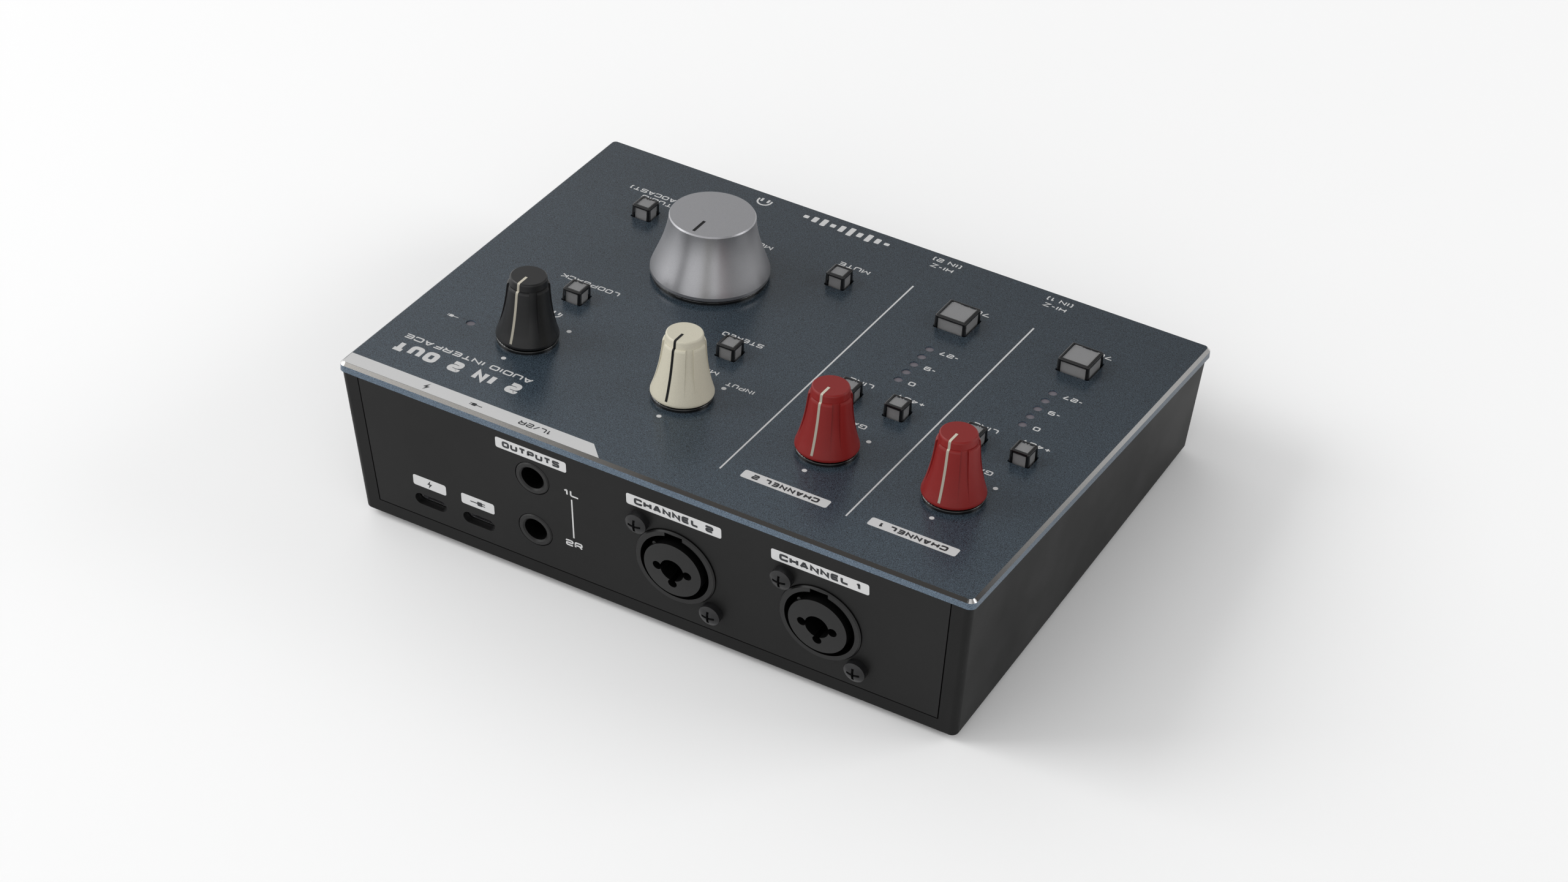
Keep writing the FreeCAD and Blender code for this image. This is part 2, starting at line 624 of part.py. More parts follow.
def main():
    os.makedirs("parts", exist_ok=True)
    for name, shape in build().items():
        solids = shape if isinstance(shape, list) else [shape]
        solids = [s for item in solids for s in item.Solids]
        out = solids[0] if len(solids) == 1 else Part.makeCompound(solids)
        out.exportStep("parts/" + name + ".step")
        state = "ok" if all(s.isValid() for s in solids) else "NOT VALID"
        print(name, len(solids), round(out.Volume, 1), state)


main()
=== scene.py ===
"""Looks of the audio interface: materials, printing, the monitor pointer, floor, lights and camera."""
import bpy
import bmesh
import json
import math
from mathutils import Matrix, Vector

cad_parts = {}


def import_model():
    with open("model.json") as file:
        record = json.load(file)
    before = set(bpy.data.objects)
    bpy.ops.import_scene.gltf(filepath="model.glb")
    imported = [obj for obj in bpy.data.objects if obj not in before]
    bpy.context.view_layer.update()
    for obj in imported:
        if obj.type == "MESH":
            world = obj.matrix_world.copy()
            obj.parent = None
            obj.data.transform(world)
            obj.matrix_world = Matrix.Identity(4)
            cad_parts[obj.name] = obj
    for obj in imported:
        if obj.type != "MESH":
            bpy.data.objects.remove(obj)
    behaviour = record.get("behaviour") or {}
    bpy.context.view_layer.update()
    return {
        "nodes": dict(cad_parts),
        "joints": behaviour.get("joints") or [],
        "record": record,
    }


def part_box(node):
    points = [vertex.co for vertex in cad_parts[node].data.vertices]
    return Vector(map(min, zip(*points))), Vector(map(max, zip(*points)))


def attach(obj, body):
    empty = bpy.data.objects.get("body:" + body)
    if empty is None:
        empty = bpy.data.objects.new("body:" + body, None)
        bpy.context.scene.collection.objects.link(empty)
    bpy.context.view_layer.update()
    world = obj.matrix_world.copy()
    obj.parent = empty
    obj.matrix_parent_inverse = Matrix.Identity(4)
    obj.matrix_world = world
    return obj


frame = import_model()
MM = 0.001
JOINTS = {j["name"]: j for j in frame["joints"]}

# Layout on the deck, mm from its centre: +X to the user's right, +Y towards the rear panel.
KNOBS = {"gain_1": (-65.6, 29.96), "gain_2": (-30.4, 29.96), "mix": (10.95, 29.96),
         "phones": (56.5, 29.96), "monitor": (33.8, -22.0)}
# Each button's place and the half width of its cap.
BUTTONS = {"phantom_1": (-72.6, 6.8, 2.65), "line_1": (-58.65, 6.8, 2.65), "phantom_2": (-37.4, 6.8, 2.65),
           "line_2": (-23.45, 6.8, 2.65), "stereo": (10.6, 7.2, 2.65), "loopback": (56.2, 7.2, 2.65),
           "mute": (4.0, -37.3, 2.65), "studio": (62.7, -37.3, 2.65),
           "input_1": (-65.8, -37.6, 4.4), "input_2": (-30.6, -37.6, 4.4)}
CAP_TOP = 3.65       # top of a button above the deck
CAP_EDGE_SHADE = (0.68, 0.78)   # painted shade along the cap's edges: the dark band, measured in from an edge, fades over this band
CORE_SHADE = 0.86    # the core's sides are in shadow this far in from the cap's edge
CORE_RING = (3.07, 0.24)  # middle height and half height of the shadow round the core's top

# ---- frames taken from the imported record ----
DECK_N = Vector(JOINTS["turn_gain_1"]["axis"]).normalized()
DECK_X = Vector((1, 0, 0))
DECK_Y = DECK_N.cross(DECK_X).normalized()
GAIN_X, GAIN_Y = KNOBS["gain_1"]
DECK_O = Vector(JOINTS["turn_gain_1"]["pos_m"]) - DECK_X * GAIN_X * MM - DECK_Y * GAIN_Y * MM
DECK = Matrix((DECK_X, DECK_Y, DECK_N)).transposed().to_4x4()
DECK.translation = DECK_O


def sheet(rgb):
    """Linear colour from 0 to 255 display values."""
    out = []
    for v in rgb:
        v = v / 255.0
        out.append(v / 12.92 if v <= 0.04045 else ((v + 0.055) / 1.055) ** 2.4)
    return tuple(out) + (1.0,)


# ---- materials ----
GRAIN = 9000.0            # scale of the fine colour noise
DRIFT = 35.0              # scale of the slow roughness noise
NOISE_BAND = (0.3, 0.7)   # where nearly all noise values lie
RELIEF_DEPTH = 0.00003
SPECK = 5200.0            # scale of the deck enamel's speckle
SPECK_DEPTH = 0.00002
BEVEL = 0.707             # how squarely a 45 degree bevel faces the deck's normal


def material(name, metal=0.0, **sockets):
    """Principled material with plain sockets set. The callers link its colour and roughness."""
    m = bpy.data.materials.new(name)
    m.use_nodes = True
    tree = m.node_tree
    shader = tree.nodes["Principled BSDF"]
    shader.inputs["Metallic"].default_value = metal
    for key, value in sockets.items():
        shader.inputs[key.replace("_", " ")].default_value = value
    return m


def coords(tree):
    return tree.nodes.new("ShaderNodeTexCoord").outputs["Object"]


def noise(tree, scale, detail):
    n = tree.nodes.new("ShaderNodeTexNoise")
    n.inputs["Scale"].default_value = scale
    n.inputs["Detail"].default_value = detail
    tree.links.new(coords(tree), n.inputs["Vector"])
    return n.outputs["Fac"]


def remap(tree, value, low, high, to_low, to_high):
    n = tree.nodes.new("ShaderNodeMapRange")
    n.inputs["From Min"].default_value = low
    n.inputs["From Max"].default_value = high
    n.inputs["To Min"].default_value = to_low
    n.inputs["To Max"].default_value = to_high
    tree.links.new(value, n.inputs["Value"])
    return n.outputs["Result"]


def mix_colour(tree, fac, a, b):
    n = tree.nodes.new("ShaderNodeMix")
    n.data_type = "RGBA"
    for socket, value in ((n.inputs[6], a), (n.inputs[7], b)):
        if isinstance(value, tuple):
            socket.default_value = value
        else:
            tree.links.new(value, socket)
    tree.links.new(fac, n.inputs[0])
    return n.outputs[2]


def bump(tree, height, strength, distance):
    n = tree.nodes.new("ShaderNodeBump")
    n.inputs["Strength"].default_value = strength
    n.inputs["Distance"].default_value = distance
    tree.links.new(height, n.inputs["Height"])
    return n.outputs["Normal"]


def finish(name, rgb, rough, metal=0.0, spread=0.12, rough_spread=0.06, relief=0.0, **sockets):
    """Moulded or painted finish: fine grain in colour, slow drift in roughness, optional relief."""
    m = material(name, metal, **sockets)
    tree = m.node_tree
    shader = tree.nodes["Principled BSDF"]
    base = sheet(rgb)
    dark = tuple(c * (1 - spread) for c in base[:3]) + (1.0,)
    light = tuple(min(1.0, c * (1 + spread)) for c in base[:3]) + (1.0,)
    fine = noise(tree, GRAIN, 3.0)
    tone = remap(tree, fine, *NOISE_BAND, 0, 1)
    tree.links.new(mix_colour(tree, tone, dark, light), shader.inputs["Base Color"])
    slow = noise(tree, DRIFT, 3.0)
    drift = remap(tree, slow, *NOISE_BAND, rough - rough_spread, rough + rough_spread)
    tree.links.new(drift, shader.inputs["Roughness"])
    if relief:
        tree.links.new(bump(tree, fine, relief, RELIEF_DEPTH), shader.inputs["Normal"])
    return m


def along(tree, axis):
    """How squarely the surface faces a fixed direction, from -1 to 1."""
    geo = tree.nodes.new("ShaderNodeNewGeometry")
    dot = tree.nodes.new("ShaderNodeVectorMath")
    dot.operation = "DOT_PRODUCT"
    dot.inputs[1].default_value = axis
    tree.links.new(geo.outputs["True Normal"], dot.inputs[0])
    return dot.outputs["Value"]


def maths(tree, operation, *values):
    n = tree.nodes.new("ShaderNodeMath")
    n.operation = operation
    for socket, value in zip(n.inputs, values):
        if isinstance(value, float):
            socket.default_value = value
        else:
            tree.links.new(value, socket)
    return n.outputs[0]


def near(tree, value, target, within):
    """1 where value is within a distance of target, else 0."""
    return maths(tree, "COMPARE", value, target, within)


def place_value(tree, axis):
    """The shaded point's X, Y or Z on the part, in metres."""
    split = tree.nodes.new("ShaderNodeSeparateXYZ")
    tree.links.new(coords(tree), split.inputs[0])
    return split.outputs[axis]


def deck_paint():
    """Textured blue-grey enamel with bare metal on its bevelled edge, and painted light: paler enamel on the
    plate's sides, a painted sheen brightening towards the rear, and painted reflections along the bevel with a
    painted highlight at its corners.
    """
    m = material("deck_paint", Specular_IOR_Level=0.42)
    tree = m.node_tree
    shader = tree.nodes["Principled BSDF"]
    up = along(tree, DECK_N)
    speck = noise(tree, SPECK, 2.0)
    tone = remap(tree, speck, 0.36, 0.64, 0, 1)
    paint = mix_colour(tree, tone, sheet((16, 22, 28)), sheet((61, 73, 83)))
    # painted light: the plate's vertical sides get a paler copy of the enamel
    sides_painted_lighter = mix_colour(tree, tone, sheet((44, 57, 69)), sheet((84, 98, 112)))
    paint = mix_colour(tree, near(tree, up, 0.0, 0.2), paint, sides_painted_lighter)
    edge = near(tree, up, BEVEL, 0.2)
    # painted reflections on the bare metal bevel: dark to bright along the rear bevel, and again along the side
    # bevels
    rear = mix_colour(tree, remap(tree, place_value(tree, "X"), -0.005, 0.045, 0, 1),
                      sheet((66, 64, 62)), sheet((124, 122, 119)))
    sides = mix_colour(tree, remap(tree, place_value(tree, "Y"), 0.065, -0.02, 0, 1),
                       sheet((60, 58, 57)), sheet((205, 204, 202)))
    metal = mix_colour(tree, near(tree, along(tree, DECK_Y), BEVEL, 0.1), sides, rear)
    # painted highlight: near-white bevel colour where the bevel turns a corner
    turn = maths(tree, "MULTIPLY", along(tree, DECK_X), along(tree, DECK_Y))
    painted_corner_highlight = remap(tree, maths(tree, "ABSOLUTE", turn), 0.05, 0.15, 0, 1)
    metal = mix_colour(tree, painted_corner_highlight, metal, sheet((214, 213, 212)))
    # painted sheen: the enamel's colour is scaled from 0.9 at the front to 1.35 at the rear
    painted_rear_sheen = tree.nodes.new("ShaderNodeHueSaturation")
    lighter = remap(tree, place_value(tree, "Y"), -0.06, 0.06, 0.9, 1.35)
    tree.links.new(lighter, painted_rear_sheen.inputs["Value"])
    tree.links.new(paint, painted_rear_sheen.inputs["Color"])
    tree.links.new(mix_colour(tree, edge, painted_rear_sheen.outputs[0], metal), shader.inputs["Base Color"])
    tree.links.new(edge, shader.inputs["Metallic"])
    tree.links.new(remap(tree, edge, 0, 1, 0.25, 0.22), shader.inputs["Roughness"])
    relief = bump(tree, speck, 0.14, SPECK_DEPTH)
    tree.links.new(remap(tree, edge, 0, 1, 0.14, 0.0), relief.node.inputs["Strength"])
    tree.links.new(relief, shader.inputs["Normal"])
    return m


def inlay(name, rgb):
    """Pointer inlay with painted shade: a little darker down the knob's side than on its top."""
    m = finish(name, rgb, 0.42, Specular_IOR_Level=0.3)
    tree = m.node_tree
    shader = tree.nodes["Principled BSDF"]
    colour = shader.inputs["Base Color"].links[0].from_socket
    # painted shade: the inlay's colour at 0.8 down the knob's side, full on its top
    side = sheet(tuple(0.8 * v for v in rgb))
    top = remap(tree, along(tree, DECK_N), 0.4, 0.9, 0, 1)
    tree.links.new(mix_colour(tree, top, side, colour), shader.inputs["Base Color"])
    return m


def socket_black():
    """Moulded satin black sockets, with painted shade: faces that do not look out of the panel are painted near
    black.
    """
    m = finish("connector_black", (24, 24, 24), 0.4, relief=0.1, Specular_IOR_Level=0.3)
    tree = m.node_tree
    shader = tree.nodes["Principled BSDF"]
    # painted shade in the sockets' depths: faces not looking out along Y get near black (4, 4, 4)
    facing = maths(tree, "ABSOLUTE", along(tree, (0, 1, 0)))
    face = remap(tree, facing, 0.2, 0.8, 0, 1)
    colour = shader.inputs["Base Color"].links[0].from_socket
    tree.links.new(mix_colour(tree, face, sheet((4, 4, 4)), colour), shader.inputs["Base Color"])
    return m


def from_centre(tree, x, y):
    """How far the shaded point is from a place on the deck: across, along, and above it, in metres."""
    centre = DECK @ Vector((x * MM, y * MM, 0))
    offsets = []
    for axis in (DECK_X, DECK_Y, DECK_N):
        dot = tree.nodes.new("ShaderNodeVectorMath")
        dot.operation = "DOT_PRODUCT"
        dot.inputs[1].default_value = axis
        tree.links.new(coords(tree), dot.inputs[0])
        offsets.append(maths(tree, "SUBTRACT", dot.outputs["Value"], centre.dot(axis)))
    return maths(tree, "ABSOLUTE", offsets[0]), maths(tree, "ABSOLUTE", offsets[1]), offsets[2]


def cap_finish(name, x, y, half):
    """Clear smoked cap: see-through faces, with painted shade along every edge, where the dark glossy material
    turns nearly opaque.

    Near an edge two of the point's three offsets are close to the cap's limits, so the second
    largest offset says how far the nearest edge is.
    """
    m = finish(name, (16, 16, 17), 0.08, spread=0.05, rough_spread=0.03)
    tree = m.node_tree
    shader = tree.nodes["Principled BSDF"]
    dx, dy, up = from_centre(tree, x, y)
    a = maths(tree, "SUBTRACT", dx, half * MM)
    b = maths(tree, "SUBTRACT", dy, half * MM)
    c = maths(tree, "SUBTRACT", up, CAP_TOP * MM)
    second = maths(tree, "MAXIMUM", maths(tree, "MINIMUM", a, b),
                   maths(tree, "MINIMUM", maths(tree, "MAXIMUM", a, b), c))
    # painted shade: the dark cap material turns nearly opaque near every edge
    painted_edge_shade = remap(tree, second, -CAP_EDGE_SHADE[1] * MM, -CAP_EDGE_SHADE[0] * MM, 0.2, 0.94)
    tree.links.new(painted_edge_shade, shader.inputs["Alpha"])
    return m


def core_finish(name, x, y, half):
    """Pale core with its set-back edges in shadow. The place and half width are its cap's."""
    m = finish(name, (190, 190, 191), 0.6, relief=0.15)
    tree = m.node_tree
    shader = tree.nodes["Principled BSDF"]
    dx, dy, up = from_centre(tree, x, y)
    notch = maths(tree, "GREATER_THAN", maths(tree, "MINIMUM", dx, dy), (half - CORE_SHADE) * MM)
    ring = near(tree, up, CORE_RING[0] * MM, CORE_RING[1] * MM)
    colour = shader.inputs["Base Color"].links[0].from_socket
    shade = maths(tree, "MAXIMUM", notch, ring)
    tree.links.new(mix_colour(tree, shade, colour, sheet((22, 22, 23))), shader.inputs["Base Color"])
    return m


PAINT = {
    "deck_paint": deck_paint(),
    "case_black": finish("case_black", (22, 22, 22), 0.46, relief=0.2, Specular_IOR_Level=0.13),
    "panel_black": finish("panel_black", (22, 22, 22), 0.46, relief=0.2, Specular_IOR_Level=0.18),
    "connector_black": socket_black(),
    "contact_metal": finish("contact_metal", (205, 178, 120), 0.28, 1.0),
    "screw_black": finish("screw_black", (34, 34, 35), 0.34, 0.3, relief=0.2, Specular_IOR_Level=0.4),
    "connector_steel": finish("connector_steel", (205, 205, 207), 0.3, 1.0),
    "board_green": finish("board_green", (22, 74, 46), 0.4),
    "component_black": finish("component_black", (26, 26, 27), 0.5),
    "foot_rubber": finish("foot_rubber", (28, 28, 28), 0.8, relief=0.5),
    "pot_metal": finish("pot_metal", (170, 170, 172), 0.35, 1.0),
    "led_lens": finish("led_lens", (100, 96, 103), 0.4),
    "ring_black": finish("ring_black", (10, 11, 12), 0.2, Coat_Weight=0.3, Coat_Roughness=0.1),
    "knob_red": finish("knob_red", (124, 27, 25), 0.42, relief=0.12, Specular_IOR_Level=0.28),
    "knob_cream": finish("knob_cream", (196, 191, 173), 0.45, relief=0.15),
    "knob_black": finish("knob_black", (20, 20, 21), 0.36, relief=0.15, Specular_IOR_Level=0.35),
    "knob_silver": finish("knob_silver", (164, 164, 167), 0.38, 0.85, relief=0.15),
    "shaft_metal": finish("shaft_metal", (180, 180, 182), 0.3, 1.0),
    "pointer_white": inlay("pointer_white", (196, 190, 174)),
    "pointer_black": finish("pointer_black", (9, 9, 10), 0.4, Specular_IOR_Level=0.2),
    "print_pale": finish("print_pale", (196, 196, 196), 0.5, spread=0.04),
    "print_dark": finish("print_dark", (25, 28, 32), 0.5, spread=0.06),
}
NODE_SLOT = {s["node"]: s["material_slot"] for s in frame["record"]["subparts"]}
for node, obj in frame["nodes"].items():
    paint = PAINT.get(NODE_SLOT[node])
    for start, per_button in (("button_core_", core_finish), ("button_cap_", cap_finish)):
        if node.startswith(start):
            paint = per_button(node, *BUTTONS[node[len(start):]])
    obj.data.materials.clear()
    obj.data.materials.append(paint)

# ---- printing: a plain square letter drawn with strokes ----
SLANTED = "AKMNVXZ"   # letters with slanted strokes keep sharp corners
PALE_LIFT, DARK_LIFT = 0.012, 0.03   # printing above its surface, mm
LAYER_STEP = 0.0015   # overlapping strokes lie at slightly different heights, mm
CORNER_STEPS = 5
GLYPHS = {
    "A": (1.0, [[(0, 0), (0.42, 1), (0.58, 1), (1, 0)], [(0.2, 0.3), (0.8, 0.3)]]),
    "B": (1.0, [[(0, 0), (0, 1), (0.94, 1), (0.94, 0.52), (0, 0.52)], [(0.9, 0.52), (1, 0.5), (1, 0), (0, 0)]]),
    "C": (1.0, [[(1, 0.72), (1, 1), (0, 1), (0, 0), (1, 0), (1, 0.28)]]),
    "D": (1.0, [[(0, 0), (0, 1), (1, 1), (1, 0), (0, 0)]]),
    "E": (0.95, [[(1, 1), (0, 1), (0, 0), (1, 0)], [(0, 0.5), (0.92, 0.5)]]),
    "F": (0.92, [[(1, 1), (0, 1), (0, 0)], [(0, 0.5), (0.85, 0.5)]]),
    "G": (1.0, [[(1, 0.74), (1, 1), (0, 1), (0, 0), (1, 0), (1, 0.48), (0.55, 0.48)]]),
    "H": (1.0, [[(0, 0), (0, 1)], [(1, 0), (1, 1)], [(0, 0.5), (1, 0.5)]]),
    "I": (0.12, [[(0.5, 0), (0.5, 1)]]),
    "K": (0.95, [[(0, 0), (0, 1)], [(1, 1), (0.1, 0.5), (1, 0)]]),
    "L": (0.9, [[(0, 1), (0, 0), (1, 0)]]),
    "M": (1.15, [[(0, 0), (0, 1), (0.5, 0.25), (1, 1), (1, 0)]]),
    "N": (1.0, [[(0, 0), (0, 1), (1, 0), (1, 1)]]),
    "O": (1.0, [[(0, 0), (0, 1), (1, 1), (1, 0), (0, 0)]]),
    "P": (1.0, [[(0, 0), (0, 1), (1, 1), (1, 0.42), (0, 0.42)]]),
    "R": (1.0, [[(0, 0), (0, 1), (1, 1), (1, 0.45), (0, 0.45)], [(0.6, 0.45), (1, 0)]]),
    "S": (1.0, [[(1, 0.8), (1, 1), (0, 1), (0, 0.5), (1, 0.5), (1, 0), (0, 0), (0, 0.2)]]),
    "T": (1.0, [[(0, 1), (1, 1)], [(0.5, 1), (0.5, 0)]]),
    "U": (1.0, [[(0, 1), (0, 0), (1, 0), (1, 1)]]),
    "V": (1.0, [[(0, 1), (0.5, 0), (1, 1)]]),
    "X": (1.0, [[(0, 0), (1, 1)], [(0, 1), (1, 0)]]),
    "Z": (1.0, [[(0, 1), (1, 1), (0, 0), (1, 0)]]),
    "0": (0.95, [[(0, 0), (0, 1), (1, 1), (1, 0), (0, 0)]]),
    "1": (0.42, [[(0, 0.72), (0.7, 1), (0.7, 0)]]),
    "2": (0.95, [[(0, 0.78), (0, 1), (1, 1), (1, 0.5), (0, 0.5), (0, 0), (1, 0)]]),
    "4": (0.95, [[(0.78, 0), (0.78, 1), (0, 0.3), (1, 0.3)]]),
    "7": (0.95, [[(0, 1), (1, 1), (0.4, 0)]]),
    "8": (0.95, [[(0, 0), (0, 1), (1, 1), (1, 0), (0, 0)], [(0, 0.5), (1, 0.5)]]),
    "9": (0.95, [[(0, 0), (1, 0), (1, 1), (0, 1), (0, 0.45), (1, 0.45)]]),
    "-": (0.5, [[(0, 0.5), (1, 0.5)]]),
    "+": (0.8, [[(0, 0.5), (1, 0.5)], [(0.5, 0.1), (0.5, 0.9)]]),
    "/": (0.6, [[(0, 0), (1, 1)]]),
    "[": (0.25, [[(1, 1), (0, 1), (0, 0), (1, 0)]]),
    "]": (0.25, [[(0, 1), (1, 1), (1, 0), (0, 0)]]),
}


def soften(pts, radius):
    """Round the corners of a stroke, keeping its ends. A stroke that ends where it starts is closed."""
    pts = [Vector(p) for p in pts]
    closed = len(pts) > 2 and (pts[0] - pts[-1]).length < 1e-9
    ring = pts[:-1] if closed else pts
    out = []
    for i, p in enumerate(ring):
        if not closed and i in (0, len(ring) - 1):
            out.append(p)
            continue
        a = ring[i - 1] - p
        b = ring[(i + 1) % len(ring)] - p
        d = min(radius, a.length * 0.45, b.length * 0.45)
        start, end = p + a.normalized() * d, p + b.normalized() * d
        for k in range(CORNER_STEPS):
            t = k / (CORNER_STEPS - 1)
            out.append(start * (1 - t) ** 2 + p * (2 * t * (1 - t)) + end * t * t)
    return out, closed


class Print:
    """Flat printing on a plane, gathered into one mesh. Places and sizes are in mm."""

    def __init__(self, name, plane, paint, lift):
        self.name, self.plane, self.paint, self.lift = name, plane, paint, lift
        self.verts, self.faces, self.layer = [], [], 0

    def add(self, pts, faces):
        start = len(self.verts)
        z = (self.lift + LAYER_STEP * (self.layer % 4)) * MM
        self.layer += 1
        self.verts += [self.plane @ Vector((p[0] * MM, p[1] * MM, z)) for p in pts]
        self.faces += [tuple(start + i for i in f) for f in faces]

    def stroke(self, pts, width, radius=0.0):
        line, closed = soften(pts, radius) if radius else ([Vector(p) for p in pts], False)
        n = len(line)
        left, right = [], []
        for i, p in enumerate(line):
            before = line[i - 1] if (i or closed) else None
            after = line[(i + 1) % n] if (i < n - 1 or closed) else None
            d0 = (p - before).normalized() if before is not None else (after - p).normalized()
            d1 = (after - p).normalized() if after is not None else d0
            mid = (d0 + d1).normalized() if (d0 + d1).length > 1e-6 else d1
            normal = Vector((-mid.y, mid.x))
            grow = min(1.8, 1.0 / max(0.3, mid.dot(d1)))
            left.append(p + normal * width / 2 * grow)
            right.append(p - normal * width / 2 * grow)
        quads = n if closed else n - 1
        self.add(left + right, [(i, (i + 1) % n, n + (i + 1) % n, n + i) for i in range(quads)])

    def plate(self, x0, y0, x1, y1, radius=0.6):
        pts = []
        for cx, cy, a0 in ((x1 - radius, y1 - radius, 0), (x0 + radius, y1 - radius, 90),
                           (x0 + radius, y0 + radius, 180), (x1 - radius, y0 + radius, 270)):
            for k in range(CORNER_STEPS):
                a = math.radians(a0 + 22.5 * k)
                pts.append((cx + radius * math.cos(a), cy + radius * math.sin(a)))
        self.add(pts, [tuple(range(len(pts)))])

    def shape(self, pts):
        self.add(pts, [tuple(range(len(pts)))])

    def dot(self, x, y, r):
        angles = [a * math.pi / 16 for a in range(32)]
        self.shape([(x + r * math.cos(a), y + r * math.sin(a)) for a in angles])

    def text(self, words, x, y, high, wide=1.14, bold=0.2, gap=0.17, align="centre", fit=0.0):
        """One line of capitals. x, y is the line's middle, or its right end; fit is its length."""
        w = high * bold
        cell = (high - w) * wide
        step = high * gap + w
        units = [0.3 if c == " " else GLYPHS[c][0] for c in words]
        if fit:
            cell = (fit - w - step * (len(words) - 1)) / sum(units)
        widths = [u * cell for u in units]
        total = sum(widths) + step * (len(words) - 1)
        at = {"centre": x - total / 2, "right": x - total}[align]
        for c, width in zip(words, widths):
            if c != " ":
                for line in GLYPHS[c][1]:
                    pts = [(at + px * width, y + (py - 0.5) * (high - w)) for px, py in line]
                    self.stroke(pts, w, 0.0 if c in SLANTED else high * 0.2)
            at += width + step

    def bolt(self, x, y, size):
        pts = [(0.12, 0.5), (-0.28, -0.06), (-0.02, -0.06), (-0.12, -0.5), (0.28, 0.08), (0.02, 0.08)]
        self.shape([(x + px * size, y + py * size) for px, py in pts])

    def plug(self, x, y, size):
        """Plain plug on a lead, in place of a maker's or standard's mark."""
        self.plate(x - size * 0.1, y - size * 0.3, x + size * 0.55, y + size * 0.3, size * 0.12)
        for s in (-1, 1):
            prong = y + s * size * 0.15
            self.stroke([(x + size * 0.5, prong), (x + size * 0.9, prong)], size * 0.12)
        self.stroke([(x - size * 0.1, y), (x - size * 1.0, y)], size * 0.14)

    def headphones(self, x, y, size):
        arc = [(x + size * math.cos(a), y - size * 0.1 + size * math.sin(a))
               for a in [math.pi * k / 12 for k in range(13)]]
        self.stroke(arc, size * 0.26)
        for s in (-1, 1):
            band, pad = x + s * size, x + s * size * 0.5
            self.stroke([(band, y - size * 0.1), (band, y - size * 0.55)], size * 0.26)
            self.stroke([(pad, y + size * 0.05), (pad, y - size * 0.75)], size * 0.34)

    def done(self):
        """Make the mesh, facing up from its plane, and fix it to the case."""
        me = bpy.data.meshes.new(self.name)
        me.from_pydata([tuple(v) for v in self.verts], [], self.faces)
        flip = bmesh.new()
        flip.from_mesh(me)
        up = (self.plane.to_3x3() @ Vector((0, 0, 1))).normalized()
        for f in flip.faces:
            f.normal_update()
            if f.normal.dot(up) < 0:
                f.normal_flip()
        flip.to_mesh(me)
        flip.free()
        me.materials.append(PAINT[self.paint])
        ob = bpy.data.objects.new(self.name, me)
        bpy.context.scene.collection.objects.link(ob)
        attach(ob, "case")


DIVIDERS = (-48.0, -12.85)
CHANNELS = (("1", -65.6), ("2", -30.4))
SCALE = (("0", -6.7), ("-9", -14.96), ("-27", -23.22))
FRONT_INPUTS = (("1", -48.0), ("2", -14.9))
BARS = (1.2, 2.4, 3.6, 2.2, 4.0, 3.0, 1.6, 3.4, 2.6, 1.4)   # heights in the front row of bars
DOT = 0.65


def deck_printing():
    """Deck printing, in the deck's own mm."""
    pale = Print("deck_print_pale", DECK, "print_pale", PALE_LIFT)
    dark = Print("deck_print_dark", DECK, "print_dark", DARK_LIFT)
    for x in DIVIDERS:
        pale.stroke([(x, 51.8), (x, -46.8)], 0.45)
    for n, cx in CHANNELS:
        pale.plate(cx - 12, 48.55, cx + 12, 51.85)
        dark.text("CHANNEL " + n, cx, 50.2, 1.85, bold=0.29, fit=18.6)
        pale.text("GAIN", cx, 16.7, 1.8)
        pale.text("+48V", cx - 7.0, 0.0, 1.75)
        pale.text("LINE", cx + 7.0, 0.0, 1.75)
        pale.text("70 HZ", cx - 0.2, -45.35, 1.7, fit=11.2)
        for words, y in SCALE:
            pale.text(words, cx - 3.1, y, 1.7, bold=0.21, align="right")
    for n, x in FRONT_INPUTS:
        pale.text("HI-Z", x, -58.6, 1.75)
        pale.text("[IN " + n + "]", x, -61.7, 1.75)
    pale.shape([(13.75, 64.55), (17.9, 60.1), (89.1, 60.1), (89.1, 64.55)])
    dark.text("1L/2R", 33.6, 62.3, 1.75)
    dark.plug(50.9, 62.3, 1.9)
    dark.bolt(65.4, 62.3, 3.0)
    pale.text("2 IN 2 OUT", 64.0, 50.9, 4.5, bold=0.3, fit=37.2)
    pale.text("AUDIO INTERFACE", 63.7, 46.0, 1.95, bold=0.225, fit=37.8)
    for i, tall in enumerate(BARS):
        x = 2.6 + i * 2.7
        pale.plate(x - 0.75, -60.5 - tall / 2, x + 0.75, -60.5 + tall / 2, 0.3)
    pale.plug(77.6, 32.1, 1.7)
    pale.text("INPUT", 0.5, 19.2, 1.7, fit=8.1)
    pale.text("MIX", 10.95, 16.8, 1.8)
    pale.text("PC", 21.6, 19.2, 1.75)
    pale.headphones(56.5, 16.6, 1.5)
    pale.text("STEREO", 10.95, 0.0, 1.75, fit=11.8)
    pale.text("LOOPBACK", 56.5, 0.0, 1.75)
    pale.text("MUTE", 4.0, -45.6, 1.8)
    pale.text("MONITOR", 33.7, -41.6, 1.8)
    pale.text("STUDIO", 62.5, -44.6, 1.7)
    pale.text("[BROADCAST]", 62.5, -47.2, 1.7)
    pale.headphones(39.9, -60.6, 1.9)
    for name, (x, y) in KNOBS.items():
        if name != "monitor":
            pale.dot(x, y + 11.05, DOT)
            for s in (-1, 1):
                pale.dot(x + s * 7.1, y - 8.4, DOT)
    pale.done()
    dark.done()


